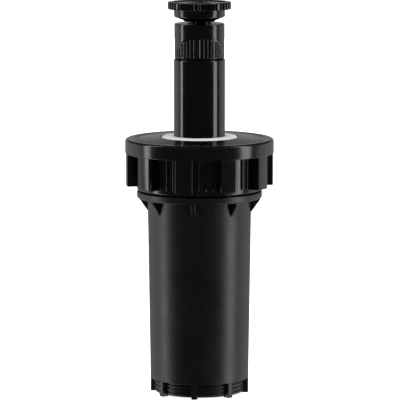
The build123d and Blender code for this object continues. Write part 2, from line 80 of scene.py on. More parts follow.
# ---- sizes read from the frame ---------------------------------------------------
case_high = box_mm("body_case")[1]
cap_low, cap_high = box_mm("cap")
seal_low, seal_high = box_mm("wiper_seal")
spring_low, spring_high = box_mm("retraction_spring")
riser_low, riser_high = box_mm("riser_tube")
screen_low, screen_high = box_mm("filter_mesh")
collar_low, collar_high = box_mm("nozzle_collar")
seat_low, seat_high = box_mm("spray_seat")
deflector_low, deflector_high = box_mm("deflector")
knob_low, knob_high = box_mm("arc_ring")
screw_low, screw_high = box_mm("flow_screw")

LIP_R = case_high.x
NECK_TOP = case_high.z
CAP_R = cap_high.x
CAP_CROWN = cap_high.z
CAP_BOTTOM = cap_low.z
RISER_FOOT = riser_low.z
RISER_TOP = riser_high.z
COLLAR_R = collar_high.x
COLLAR_BOTTOM = collar_low.z
COLLAR_TOP = collar_high.z
DISH_R = deflector_high.x
KNOB_R = knob_high.x
KNOB_BOTTOM = knob_low.z
KNOB_TOP = knob_high.z

# ---- sizes of the details ---------------------------------------------------------
WALL_FOOT = 5.6            # lower edge of the case wall
WALL_FOOT_R = 18.85
WALL_TOP_R = 19.9
WALL = 2.0
LIP_BOTTOM = 75.5
LIP_TOP = 78.2
NECK_R = 20.6
NECK_BORE_R = 18.9
SHOULDER = 89.5            # the seal stack sits on it
FLOOR = 8.2
NECK_THREAD_HEIGHT = 1.0
SKIRT_R = 17.0
SKIRT_WALL = 1.6
SKIRT_BOTTOM = 0.5
SKIRT_RIDGES = (1.4, 2.9, 4.4)
RIDGE_HEIGHT = 0.45
RIDGE_FOOT = 0.45          # half widths of a ridge, at its foot and at its crest
RIDGE_CREST = 0.2
RIB_COUNT = 8              # gussets under the lip and feet under the wall
RIB_PHASE = -6.25
GUSSET_DROP = 5.5
GUSSET_TIP = 0.6           # its outer edge: inside the lip's edge, and as tall
GUSSET_HALF = 0.9
FOOT_IN_R = 16.0           # where a foot meets its web
FOOT_WIDTH = 2.2
FOOT_WEB = 1.6
FOOT_WEB_BOTTOM = 1.5
GUIDE_COUNT = 6
GUIDE_PHASE = 30
GUIDE_WIDTH = 1.6
GUIDE_R = 15.9
GUIDE_TOP = 87.0
INLET_R = 9.16
INLET_GROOVE = 1.2
INLET_CHAMFER = 0.8
INLET_THREAD_Z = 0.9
INLET_BOSS_R = 13.6
INLET_BOSS_IN = 13.1       # where the floor and the feet's webs reach into the boss
INLET_TOP = 12.5
CAP_TOP = 98.3             # the flat rim of the cap's plate
CAP_CROWN_R = 23.2         # inside it the plate rises to the hole
CAP_PLATE = 2.5
CAP_EDGE = 1.0
CAP_PLATE_RIM = 1.2        # extra depth of the plate outside the core
CAP_BAND = 1.8             # wall of the smooth band
CAP_BAND_BOTTOM = 92.7
CAP_CORE_R = 24.0
CAP_BORE_R = 22.0
CAP_LEAD_IN = 0.5
CAP_HOLE_R = 14.7
CAP_THREAD_Z = 82.4
CAP_THREAD_HEIGHT = 1.05
CAP_GROOVES = (25.6, 24.3)
CAP_GROOVE = 0.6
CAP_GROOVE_SLOPE = 0.15
CAP_GROOVE_DEPTH = 0.2
LOBE_COUNT = 10
LOBE_PHASE = 5.6
LOBE_ANGLE = 14.0
LOBE_R = 28.2
LOBE_BOTTOM = 80.2
GRIP_RIB_STEP = 6.5        # fine upright ribs between two lobes
GRIP_RIB_ANGLE = 1.9
GRIP_RIB_HEIGHT = 0.6
GRIP_RIB_EDGE = 0.38
SEAL_R = 14.35
SEAL_TOP = 99.05
SEAL_GAP = 0.07            # between the seal's lips and the riser
SEAL_RELIEF = 1.3          # depth of the hollow between its two lips
RISER_R = 9.8
RISER_BORE_R = 7.7
RISER_FOOT_R = 15.2
RISER_FOOT_TOP = 64.6
RISER_SHOULDER = 128.9
RISER_NECK_R = 7.35
RISER_NECK_BORE_R = 6.2
RATCHET_TEETH = 36
RATCHET_HEIGHT = 0.7
RATCHET_R = (11.2, 14.4)   # the teeth lie between these
NOZZLE_THREAD_Z = 131.2
NOZZLE_THREAD_HEIGHT = 0.5
NOZZLE_CLEARANCE = 0.25    # between the riser's neck and the nozzle
GRIP_COUNT = 39
FLUTE_R = 0.5
FLUTE_SINK = 0.12          # the flute's centre lies this far outside the surface
GRIP_LEDGE = 0.12          # how much deeper the grip zones lie
GRIP_BOTTOM = 129.5
GRIP_PEAK = 137.2
GRIP_VALLEY = 133.6
ARCH_COUNT = 3
ARCH_HALF_ANGLE = 52.0
ARCH_PHASE = -87.0
WEB_Z = 138.7
SEAT_Z = 139.5
SEAT_FACE = 142.4
SPRAY_START = 141.9
SPRAY_LEAD = 0.8
SPRAY_GAP = 0.04           # between the two spirals of the spray slot
SPRAY_R = 4.75
HUB_R = 4.6
KEY_R = 3.0
KEY_OUT_R = 3.7
KEY_WIDTH = 1.4
SPOKE_COUNT = 4
SPOKE_WIDTH = 0.8
STEP_ANGLE = 100.0
ARC_SET = 180.0
STEM_R = 1.9
STEM_GROOVE = (138.5, 139.1)
STEM_GROOVE_DEPTH = 0.35
DISH_BOTTOM = 143.2
DISH_FLAT_R = 6.0
DISH_RIM = 144.9
DISH_WALL = 1.3
KNOB_TEETH = 44
KNOB_NOTCH = 0.42
KNOB_DISH = 0.4            # depth of the knob's recessed face
BOSS_R = 3.3
BOSS_BORE_R = 2.3
SCREW_SLOT = 0.7
SCREW_SLOT_DEPTH = 0.6
SCREW_THREAD_DEPTH = 0.22
SCREW_R = 1.1
SCREW_BORE_R = 1.17
SCREW_HEAD = 1.3           # height of the head
O_RING_SEAT = 146.2
SPRING_R = 12.3
SPRING_WIRE = 1.6
SPRING_TURNS = 9.5
SCREEN_STRANDS = 40
SCREEN_STEP = 0.75
SCREEN_UPRIGHT = 0.1       # half widths of the strands
SCREEN_ROUND = 0.09
CAP_THREAD = {"pitch": 3.2, "turns": 2.25, "foot": 1.6, "crest": 0.9}
INLET_THREAD = {"pitch": 1.814, "turns": 6.0, "foot": 0.95, "crest": 0.25}
NOZZLE_THREAD = {"pitch": 0.907, "turns": 5.0, "foot": 0.45, "crest": 0.15}
SCREW_THREAD = {"pitch": 0.6, "turns": 10.0, "foot": 0.5, "crest": 0.1}


# ---- outlines -----------------------------------------------------------------------
def unit(vector):
    return vector / np.linalg.norm(vector)


def rounded(corners, steps=4):
    """Closed outline through (r, z) or (r, z, rounding) corners, with an arc at each rounding."""
    points = []
    for i, corner in enumerate(corners):
        here = np.array(corner[:2], float)
        if len(corner) < 3:
            points.append(here)
            continue
        to_last = unit(np.array(corners[i - 1][:2], float) - here)
        to_next = unit(np.array(corners[(i + 1) % len(corners)][:2], float) - here)
        half = math.acos(np.clip(to_last @ to_next, -1, 1)) / 2
        centre = here + unit(to_last + to_next) * corner[2] / math.sin(half)
        start = here + to_last * corner[2] / math.tan(half) - centre
        end = here + to_next * corner[2] / math.tan(half) - centre
        turn = math.pi - 2 * half
        for t in np.linspace(0, 1, steps + 1):
            arm = start * math.sin((1 - t) * turn) + end * math.sin(t * turn)
            points.append(centre + arm / math.sin(turn))
    return np.array(points)


def refined(outline, longest, inside=None, elsewhere=6.0):
    """The same outline with no run over the longest length, or only so in an (r, z) box."""
    points = []
    for here, after in zip(outline, np.roll(outline, -1, axis=0)):
        fine = inside is None or all(np.all((p >= inside[0]) & (p <= inside[1])) for p in (here, after))
        step = longest if fine else elsewhere
        count = max(1, math.ceil(np.linalg.norm(after - here) / step))
        points += [here + (after - here) * k / count for k in range(count)]
    return np.array(points)


# ---- shells: (vertices in mm, faces) pairs ---------------------------------------------
def lathe(outline, segments=160, shape=None, angles=None):
    """Shell of revolution. shape(r, z, angle) may return a changed r and z for every point."""
    ring = np.linspace(0, TURN, segments, endpoint=False) if angles is None else np.asarray(angles)
    closed = angles is None
    r, angle = np.meshgrid(outline[:, 0], ring, indexing="ij")
    z = np.meshgrid(outline[:, 1], ring, indexing="ij")[0]
    if shape is not None:
        r, z = shape(r, z, angle)
    rows, columns = r.shape
    verts = np.stack([r * np.cos(angle), r * np.sin(angle), z], axis=-1).reshape(-1, 3)
    index = np.arange(rows * columns).reshape(rows, columns)
    below = np.roll(index, -1, axis=0)
    if closed:
        quads = [index, np.roll(index, -1, axis=1), np.roll(below, -1, axis=1), below]
    else:
        quads = [index[:, :-1], index[:, 1:], below[:, 1:], below[:, :-1]]
    faces = np.stack(quads, axis=-1).reshape(-1, 4).tolist()
    if not closed:
        faces += [index[:, 0].tolist(), index[::-1, -1].tolist()]
    return verts, faces


def bevelled(verts, faces, width, segments=2, sharper_than=30.0):
    """The shell with its sharp edges rounded off."""
    bm = bmesh.new()
    made = [bm.verts.new(v) for v in verts]
    for face in faces:
        bm.faces.new([made[i] for i in face])
    bmesh.ops.recalc_face_normals(bm, faces=bm.faces)
    sharp = [e for e in bm.edges if e.calc_face_angle(0) > math.radians(sharper_than)]
    bmesh.ops.bevel(bm, geom=sharp, offset=width, offset_type="OFFSET", segments=segments, profile=0.5,
                    affect="EDGES", clamp_overlap=True)
    bm.verts.index_update()
    result = np.array([v.co for v in bm.verts]), [[v.index for v in f.verts] for f in bm.faces]
    bm.free()
    return result


def prism(outline, low, high, width=0.2, segments=2):
    """Upright prism on an (x, y) outline, its edges rounded off."""
    count = len(outline)
    verts = [(x, y, z) for z in (low, high) for x, y in outline]
    faces = [list(range(count))[::-1], list(range(count, 2 * count))]
    faces += [[i, (i + 1) % count, count + (i + 1) % count, count + i] for i in range(count)]
    return bevelled(verts, faces, width, segments)


def turned_to(shell, degrees):
    """The shell turned about Z."""
    verts, faces = shell
    c, s = math.cos(math.radians(degrees)), math.sin(math.radians(degrees))
    return np.asarray(verts) @ np.array([[c, s, 0], [-s, c, 0], [0, 0, 1]]), faces


def bar(r_in, r_out, width, low, high, degrees, edge=0.25):
    """Upright radial block."""
    half = width / 2
    block = prism([(r_in, -half), (r_out, -half), (r_out, half), (r_in, half)], low, high, edge)
    return turned_to(block, degrees)


def sector(r_in, r_out, low, high, degrees, wide, edge=0.4, steps=6):
    """Piece of a ring with rounded edges."""
    spread = np.radians(np.linspace(-wide / 2, wide / 2, steps + 1))
    outer = [(r_out * math.cos(a), r_out * math.sin(a)) for a in spread]
    inner = [(r_in * math.cos(a), r_in * math.sin(a)) for a in spread[::-1]]
    return turned_to(prism(outer + inner, low, high, edge, 3), degrees)


def all_round(count, phase=0.0):
    """Evenly spaced angles in degrees."""
    return [phase + 360.0 * i / count for i in range(count)]


def smooth(low, high, value):
    """Smooth step from 0 at low to 1 at high."""
    t = np.clip((value - low) / (high - low), 0, 1)
    return t * t * (3 - 2 * t)


def thread(z, angle, start, pitch, turns, foot, crest):
    """Share, 0 to 1, of a right-handed thread ridge's height at each point, running out at its ends."""
    share = angle / TURN
    lap = np.round((z - start) / pitch - share)
    off = np.abs(z - start - pitch * (lap + share))
    along = lap + share
    ends = smooth(0, 0.12, along) * smooth(0, 0.12, turns - along)
    return np.clip((foot / 2 - off) / ((foot - crest) / 2), 0, 1) * ends


def wire(path, radius, sides=12):
    """Closed round wire along a smooth path of points."""
    path = np.asarray(path, float)
    ahead = np.gradient(path, axis=0)
    ahead /= np.linalg.norm(ahead, axis=1)[:, None]
    side = np.cross(ahead, (0, 0, 1.0))
    side /= np.linalg.norm(side, axis=1)[:, None]
    up = np.cross(side, ahead)
    round_ = np.linspace(0, TURN, sides, endpoint=False)
    circle = side[:, None] * np.cos(round_)[None, :, None] + up[:, None] * np.sin(round_)[None, :, None]
    verts = (path[:, None] + radius * circle).reshape(-1, 3)
    index = np.arange(len(verts)).reshape(len(path), sides)
    wrapped = np.roll(index, -1, axis=1)
    faces = np.stack([index[:-1], wrapped[:-1], wrapped[1:], index[1:]], axis=-1).reshape(-1, 4).tolist()
    return verts, faces + [index[0].tolist(), index[-1][::-1].tolist()]


# ---- materials ---------------------------------------------------------------------------
class Nodes:
    """A material's node tree with one Principled shader, built a node at a time."""

    def __init__(self, name, **sockets):
        self.material = bpy.data.materials.new(name)
        self.material.use_nodes = True
        self.tree = self.material.node_tree
        self.shader = self.tree.nodes["Principled BSDF"]
        for socket, value in sockets.items():
            self.shader.inputs[socket.replace("_", " ")].default_value = value
        self.place = self.add("ShaderNodeTexCoord").outputs["Object"]

    def add(self, kind, inputs=(), **settings):
        node = self.tree.nodes.new(kind)
        for key, value in settings.items():
            setattr(node, key, value)
        for key, value in dict(inputs).items():
            if isinstance(value, bpy.types.NodeSocket):
                self.tree.links.new(value, node.inputs[key])
            else:
                node.inputs[key].default_value = value
        return node

    def noise(self, scale, detail=4.0, rough=0.5, place=None):
        """Noise with features of about 1 / scale of a metre."""
        inputs = {"Vector": place or self.place, "Scale": scale, "Detail": detail, "Roughness": rough}
        return self.add("ShaderNodeTexNoise", inputs).outputs["Fac"]

    def between(self, factor, low, high, start=0.35, end=0.65):
        """Maps a factor's start..end onto low..high."""
        inputs = {"Value": factor, "From Min": start, "From Max": end, "To Min": low, "To Max": high}
        return self.add("ShaderNodeMapRange", inputs).outputs["Result"]

    def mixed(self, factor, first, second):
        """Mix of two colours."""
        node = self.add("ShaderNodeMix", data_type="RGBA")
        self.tree.links.new(factor, node.inputs["Factor"])
        colours = {s.name: s for s in node.inputs if s.type == "RGBA"}
        colours["A"].default_value = (*first, 1)
        colours["B"].default_value = (*second, 1)
        return next(s for s in node.outputs if s.type == "RGBA")

    def stretched(self, x, y, z):
        """Object place with each axis scaled."""
        return self.add("ShaderNodeMapping", {"Vector": self.place, "Scale": (x, y, z)}).outputs["Vector"]

    def feed(self, socket, value):
        self.tree.links.new(value, self.shader.inputs[socket])

    def bump(self, height, strength, distance, onto=None):
        inputs = {"Height": height, "Strength": strength, "Distance": distance}
        if onto is not None:
            inputs["Normal"] = onto
        normal = self.add("ShaderNodeBump", inputs).outputs["Normal"]
        self.feed("Normal", normal)
        return normal


def moulded(name, dark, light, rough, grain, grain_depth):
    """Moulded black plastic: uneven tone, cloudy gloss, die grain and long shallow ripples."""
    n = Nodes(name, Specular_IOR_Level=0.5)
    tone = n.noise(55, detail=6, rough=0.6)
    n.feed("Base Color", n.mixed(n.between(tone, 0, 1), dark, light))
    cloud = n.noise(130, detail=5, rough=0.62)
    n.feed("Roughness", n.between(cloud, rough[0], rough[1], 0.3, 0.7))
    ripple = n.bump(n.noise(38, detail=2), 0.25, 0.00012)
    n.bump(n.noise(grain, detail=3, rough=0.7), grain_depth, 0.00005, ripple)
    return n.material


def elastomer(name, dark, light, rough):
    """Moulded elastomer: faint mottling and a dull bloom."""
    n = Nodes(name, Specular_IOR_Level=0.4)
    n.feed("Base Color", n.mixed(n.between(n.noise(240, detail=5), 0, 1), dark, light))
    n.feed("Roughness", n.between(n.noise(420, detail=4), rough[0], rough[1]))
    n.bump(n.noise(1900, detail=3), 0.35, 0.00004)
    return n.material


def acetal(name, dark, light):
    """Natural acetal: waxy, slightly see-through white."""
    n = Nodes(name, Specular_IOR_Level=0.45, Subsurface_Weight=0.15, Subsurface_Scale=0.001)
    n.feed("Base Color", n.mixed(n.between(n.noise(160, detail=5), 0, 1), dark, light))
    n.feed("Roughness", n.between(n.noise(500, detail=4), 0.28, 0.42))
    n.bump(n.noise(1400, detail=3), 0.3, 0.00003)
    return n.material


def turned_steel(name, colour, stain, rough):
    """Stainless steel with fine marks round the axis."""
    n = Nodes(name, Metallic=1.0)
    n.feed("Base Color", n.mixed(n.between(n.noise(300, detail=5), 0, 1), stain, colour))
    marks = n.noise(900, detail=4, place=n.stretched(0.25, 0.25, 6.0))
    n.feed("Roughness", n.between(marks, rough[0], rough[1]))
    n.bump(marks, 0.3, 0.00003)
    return n.material


MATERIALS = {
    "case_plastic": moulded(
        "case_plastic", (0.002, 0.002, 0.002), (0.0036, 0.0036, 0.0035), (0.32, 0.42),
        grain=2600, grain_depth=0.5),
    "cap_plastic": moulded(
        "cap_plastic", (0.0018, 0.0018, 0.0018), (0.0034, 0.0034, 0.0033), (0.15, 0.22),
        grain=1800, grain_depth=0.3),
    "riser_plastic": moulded(
        "riser_plastic", (0.0014, 0.0014, 0.0015), (0.0024, 0.0024, 0.0025), (0.10, 0.17),
        grain=1500, grain_depth=0.08),
    "nozzle_plastic": moulded(
        "nozzle_plastic", (0.0014, 0.0014, 0.0014), (0.0024, 0.0024, 0.0024), (0.13, 0.22),
        grain=1500, grain_depth=0.12),
    "seal_white": elastomer("seal_white", (0.78, 0.78, 0.76), (0.86, 0.86, 0.84), (0.42, 0.55)),
    "gasket_rubber": elastomer("gasket_rubber", (0.018, 0.018, 0.018), (0.034, 0.034, 0.033), (0.55, 0.7)),
    "hard_grey": moulded(
        "hard_grey", (0.20, 0.20, 0.21), (0.27, 0.27, 0.28), (0.35, 0.45), grain=1800, grain_depth=0.3),
    "natural_acetal": acetal("natural_acetal", (0.70, 0.68, 0.62), (0.80, 0.79, 0.74)),
    "stainless": turned_steel("stainless", (0.66, 0.66, 0.65), (0.55, 0.54, 0.52), (0.22, 0.36)),
    "stainless_wire": turned_steel("stainless_wire", (0.62, 0.62, 0.61), (0.50, 0.49, 0.47), (0.25, 0.4)),
    "screen_mesh": acetal("screen_mesh", (0.62, 0.63, 0.62), (0.72, 0.73, 0.72)),
}


# ---- pieces --------------------------------------------------------------------------------
def piece(name, shells, slot, nodes, body=None, crease=32.0):
    """One visible piece from shells in mm. It replaces the CAD nodes and rides on their body."""
    mesh = bpy.data.meshes.new(name)
    verts, faces, start = [], [], 0
    for shell_verts, shell_faces in shells:
        verts.append(np.asarray(shell_verts, float))
        faces += [[i + start for i in face] for face in shell_faces]
        start += len(shell_verts)
    mesh.from_pydata((np.concatenate(verts) * MM).tolist(), [], faces)
    bm = bmesh.new()
    bm.from_mesh(mesh)
    bmesh.ops.remove_doubles(bm, verts=bm.verts, dist=1e-7)
    bmesh.ops.dissolve_degenerate(bm, edges=bm.edges, dist=1e-7)
    bmesh.ops.recalc_face_normals(bm, faces=bm.faces)
    bm.to_mesh(mesh)
    bm.free()
    mesh.shade_smooth()
    mesh.set_sharp_from_angle(angle=math.radians(crease))
    mesh.materials.append(MATERIALS[slot])
    made = bpy.data.objects.new(name, mesh)
    bpy.context.scene.collection.objects.link(made)
    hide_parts(*nodes)
    if body:
        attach(made, body)
    return made


def case_shell():
    """Tapered barrel with its lip, threaded neck, gussets, feet, ridged skirt and threaded inlet."""
    bore_top = WALL_TOP_R - WALL
    floor_r = WALL_FOOT_R - WALL

    def neck_thread(r, z, angle):
        on_neck = (r > NECK_R - NEAR) & (z > LIP_TOP + 0.2) & (z < NECK_TOP - 0.4)
        share = thread(z, angle, CAP_THREAD_Z, **CAP_THREAD)
        return r + np.where(on_neck, share * NECK_THREAD_HEIGHT, 0), z

    wall = rounded([
        (INLET_BOSS_IN, WALL_FOOT), (WALL_FOOT_R, WALL_FOOT, 0.4), (WALL_TOP_R, LIP_BOTTOM, 0.8),
        (LIP_R, LIP_BOTTOM, 0.7), (LIP_R, LIP_TOP, 0.4), (NECK_R, LIP_TOP, 0.3), (NECK_R, NECK_TOP, 0.4),
        (NECK_BORE_R, NECK_TOP, 0.3), (NECK_BORE_R, SHOULDER), (bore_top, SHOULDER, 0.2),
        (bore_top, LIP_BOTTOM), (floor_r, FLOOR, 0.5), (INLET_BOSS_IN, FLOOR),
    ])
    neck_box = ((NECK_R - 0.1, LIP_TOP), (NECK_R + 0.4, NECK_TOP))
    shells = [lathe(refined(wall, 0.16, neck_box), 224, neck_thread)]

    def inlet_thread(r, z, angle):
        on_bore = (r < INLET_R + NEAR) & (z > INLET_CHAMFER + 0.05) & (z < INLET_TOP - 0.3)
        share = thread(z, angle, INLET_THREAD_Z, **INLET_THREAD)
        return r + np.where(on_bore, share * INLET_GROOVE, 0), z

    boss = refined(rounded([
        (INLET_R + INLET_CHAMFER, 0), (INLET_BOSS_R, 0, 0.3), (INLET_BOSS_R, INLET_TOP, 0.5),
        (INLET_R, INLET_TOP, 0.2), (INLET_R, INLET_CHAMFER),
    ]), 0.2)
    shells.append(lathe(boss, 144, inlet_thread))
    skirt_in = SKIRT_R - SKIRT_WALL
    skirt_top = WALL_FOOT + 0.5
    ridged = [(skirt_in, SKIRT_BOTTOM), (SKIRT_R, SKIRT_BOTTOM, 0.2)]
    for z in SKIRT_RIDGES:
        crest_r = SKIRT_R + RIDGE_HEIGHT
        ridged += [(SKIRT_R, z - RIDGE_FOOT), (crest_r, z - RIDGE_CREST, 0.12),
                   (crest_r, z + RIDGE_CREST, 0.12), (SKIRT_R, z + RIDGE_FOOT)]
    shells.append(lathe(rounded(ridged + [(SKIRT_R, skirt_top), (skirt_in, skirt_top)]), 192))
    gusset_in, gusset_out = WALL_TOP_R - 1.0, LIP_R - GUSSET_TIP
    gusset_top, gusset_foot = LIP_BOTTOM + 0.2, LIP_BOTTOM - GUSSET_DROP
    side = [(gusset_in, gusset_top), (gusset_out, gusset_top), (gusset_out, LIP_BOTTOM - GUSSET_TIP),
            (WALL_TOP_R, gusset_foot), (gusset_in, gusset_foot)]
    for angle in all_round(RIB_COUNT, RIB_PHASE):
        verts = [(r, y, z) for y in (-GUSSET_HALF, GUSSET_HALF) for r, z in side]
        count = len(side)
        faces = [list(range(count)), list(range(2 * count - 1, count - 1, -1))]
        faces += [[i, (i + 1) % count, count + (i + 1) % count, count + i] for i in range(count)]
        shells.append(turned_to(bevelled(verts, faces, 0.3, 3), angle))
        shells.append(bar(FOOT_IN_R, WALL_FOOT_R, FOOT_WIDTH, 0, WALL_FOOT + OVERLAP, angle))
        shells.append(bar(INLET_BOSS_IN, FOOT_IN_R, FOOT_WEB, FOOT_WEB_BOTTOM, WALL_FOOT + OVERLAP, angle))
    for angle in all_round(GUIDE_COUNT, GUIDE_PHASE):
        shells.append(bar(GUIDE_R, bore_top + OVERLAP, GUIDE_WIDTH, FLOOR - 0.5, GUIDE_TOP, angle))
    return piece("case_shell", shells, "case_plastic", ["body_case"], "case")


def cap_shell():
    """Cap: grooved plate, smooth band, grip lobes and fine ribs on the threaded core ring."""
    plate = CAP_TOP - CAP_PLATE
    rim = plate - CAP_PLATE_RIM
    grip_top = plate - 0.8
    groove_z = CAP_TOP - CAP_GROOVE_DEPTH
    lines = []
    for r in CAP_GROOVES:
        lines += [(r, CAP_TOP, 0.06), (r - CAP_GROOVE_SLOPE, groove_z, 0.06),
                  (r - CAP_GROOVE + CAP_GROOVE_SLOPE, groove_z, 0.06), (r - CAP_GROOVE, CAP_TOP, 0.06)]
    lines.append((CAP_CROWN_R, CAP_TOP, 1.0))

    def core_thread(r, z, angle):
        on_bore = (r < CAP_BORE_R + NEAR) & (r > CAP_HOLE_R + 1)
        on_bore &= (z > CAP_BOTTOM + 0.6) & (z < plate - 0.1)
        share = thread(z, angle, CAP_THREAD_Z - CAP_THREAD["pitch"] / 2, **CAP_THREAD)
        return r - np.where(on_bore, share * CAP_THREAD_HEIGHT, 0), z

    outline = rounded([
        (CAP_HOLE_R, CAP_CROWN, 0.25), (CAP_HOLE_R, plate, 0.2), (CAP_BORE_R, plate),
        (CAP_BORE_R, CAP_BOTTOM + CAP_LEAD_IN), (CAP_BORE_R + CAP_LEAD_IN, CAP_BOTTOM),
        (CAP_CORE_R, CAP_BOTTOM, 0.5),
        (CAP_CORE_R, rim), (CAP_R - CAP_BAND, rim), (CAP_R - CAP_BAND, CAP_BAND_BOTTOM, 0.2),
        (CAP_R, CAP_BAND_BOTTOM, 0.35),
        (CAP_R, CAP_TOP, CAP_EDGE)] + lines, steps=5)
    shells = [lathe(refined(outline, 0.4), 240, core_thread)]
    for angle in all_round(LOBE_COUNT, LOBE_PHASE):
        shells.append(sector(CAP_CORE_R - 0.5, LOBE_R, LOBE_BOTTOM, grip_top, angle, LOBE_ANGLE))
        for step in (-GRIP_RIB_STEP, 0, GRIP_RIB_STEP):
            shells.append(sector(CAP_CORE_R - OVERLAP, CAP_CORE_R + GRIP_RIB_HEIGHT, LOBE_BOTTOM + 0.3,
                                 grip_top, angle + 180 / LOBE_COUNT + step, GRIP_RIB_ANGLE,
                                 edge=GRIP_RIB_EDGE, steps=2))
    return piece("cap_shell", shells, "cap_plastic", ["cap"], "cap")


def wiper_lip():
    """White wiper seal: flange, neck through the cap's hole and a thin lip on the riser."""
    lip_r = RISER_R + SEAL_GAP
    hollow_r = lip_r + SEAL_RELIEF
    plate = CAP_TOP - CAP_PLATE
    outline = rounded([
        (lip_r, seal_low.z + 0.6), (lip_r + 0.5, seal_low.z, 0.15), (seal_high.x, seal_low.z, 0.3),
        (seal_high.x, plate, 0.3), (SEAL_R, plate, 0.2), (SEAL_R, SEAL_TOP, 0.3),
        (lip_r + 0.9, seal_high.z, 0.4), (lip_r, seal_high.z, 0.2), (lip_r, seal_high.z - 1.0),
        (hollow_r, seal_high.z - 2.2, 0.3), (hollow_r, seal_low.z + 2.0, 0.3), (lip_r, seal_low.z + 1.4),
    ], steps=6)
    return piece("wiper_lip", [lathe(outline, 160)], "seal_white", ["wiper_seal"], "seal_stack", crease=50)


def riser_sleeve():
    """Riser tube with a ratchet foot and a fine-threaded neck."""
    teeth_in, teeth_out = RATCHET_R

    def features(r, z, angle):
        on_face = (r > teeth_in) & (r < teeth_out) & (np.abs(z - RISER_FOOT_TOP) < NEAR)
        tooth = np.abs(((angle / TURN * RATCHET_TEETH + 0.5) % 1) - 0.5) * 2
        z = z + np.where(on_face, RATCHET_HEIGHT * np.clip(1.3 - 1.6 * tooth, 0, 1), 0)
        on_neck = (np.abs(r - RISER_NECK_R) < NEAR) & (z > RISER_SHOULDER + 0.3) & (z < RISER_TOP - 0.35)
        share = thread(z, angle, NOZZLE_THREAD_Z, **NOZZLE_THREAD)
        return r + np.where(on_neck, share * NOZZLE_THREAD_HEIGHT, 0), z

    outline = rounded([
        (RISER_BORE_R, RISER_FOOT, 0.4), (RISER_FOOT_R, RISER_FOOT, 0.5), (RISER_FOOT_R, RISER_FOOT_TOP),
        (teeth_out + 0.05, RISER_FOOT_TOP), (teeth_out - NEAR, RISER_FOOT_TOP),
        (teeth_in + NEAR, RISER_FOOT_TOP), (teeth_in - 0.05, RISER_FOOT_TOP), (RISER_R, RISER_FOOT_TOP),
        (RISER_R, RISER_SHOULDER, 0.6), (RISER_NECK_R, RISER_SHOULDER),
        (RISER_NECK_R, RISER_TOP, 0.3), (RISER_NECK_BORE_R, RISER_TOP, 0.15),
        (RISER_NECK_BORE_R, RISER_SHOULDER - 2), (RISER_BORE_R, RISER_SHOULDER - 3.5)])
    neck_box = ((RISER_NECK_R - 0.1, RISER_SHOULDER - 0.1), (RISER_NECK_R + 0.1, RISER_TOP))
    outline = refined(outline, 0.08, neck_box, elsewhere=100.0)
    return piece("riser_sleeve", [lathe(outline, 288, features)], "riser_plastic", ["riser_tube"], "riser")


def arch_edge(angle):
    """Height of the arched upper edge of the nozzle's grip zones."""
    step = 360.0 / ARCH_COUNT
    off = (np.degrees(angle) - ARCH_PHASE + step / 2) % step - step / 2
    share = np.minimum(np.abs(off) / ARCH_HALF_ANGLE, 1.0)
    return GRIP_VALLEY + (GRIP_PEAK - GRIP_VALLEY) * np.sqrt(1 - share ** 2)


def nozzle_body():
    """Nozzle base: smooth crown over arched, fluted grip zones that lie a little deeper."""
    def flutes(r, z, angle):
        on_side = r > COLLAR_R - NEAR
        pitch = TURN / GRIP_COUNT
        off = ((angle - math.radians(ARCH_PHASE)) / pitch + 0.5) % 1 - 0.5
        across = off * pitch * COLLAR_R
        centre_angle = angle - off * pitch
        depth = np.sqrt(np.maximum(FLUTE_R ** 2 - across ** 2, 0)) - FLUTE_SINK
        flute = np.maximum(depth, 0) * smooth(0, 0.5, arch_edge(centre_angle) - z)
        flute = flute * smooth(0, 0.3, z - GRIP_BOTTOM)
        ledge = GRIP_LEDGE * smooth(-0.05, 0.15, arch_edge(angle) + 0.35 - z)
        ledge = ledge * smooth(0, 0.2, z - GRIP_BOTTOM + 0.4)
        return r - np.where(on_side, np.maximum(flute, ledge), 0), z

    bore_r = RISER_NECK_R + NOZZLE_CLEARANCE
    ledge_r = seat_high.x - 0.8
    outline = rounded([
        (8.4, COLLAR_BOTTOM), (COLLAR_R, COLLAR_BOTTOM, 0.3), (COLLAR_R, COLLAR_TOP, 0.35),
        (seat_high.x, COLLAR_TOP, 0.1), (seat_high.x, SEAT_Z), (ledge_r, SEAT_Z), (ledge_r, WEB_Z),
        (bore_r, WEB_Z), (bore_r, RISER_TOP + 0.3), (8.0, RISER_TOP - 0.1), (8.0, COLLAR_BOTTOM + 0.4)])
    return piece("nozzle_body", [lathe(refined(outline, 0.22), GRIP_COUNT * 12, flutes)], "nozzle_plastic",
                 ["nozzle_collar"], "nozzle")


def spiral_block(r_in, r_out, start_degrees, low, high, top_climbs=False):
    """One turn of a block whose lower (or upper) face climbs by the spray lead, with upright end walls."""
    angles = math.radians(start_degrees) + np.linspace(0, TURN, 145)

    def climb(r, z, angle):
        rise = SPRAY_LEAD * (angle - angles[0]) / TURN
        return r, np.where((z > (low + high) / 2) == top_climbs, z + rise, z)

    outline = rounded([(r_in, low), (r_out, low, 0.08), (r_out, high), (r_in, high)])
    return lathe(outline, shape=climb, angles=angles)


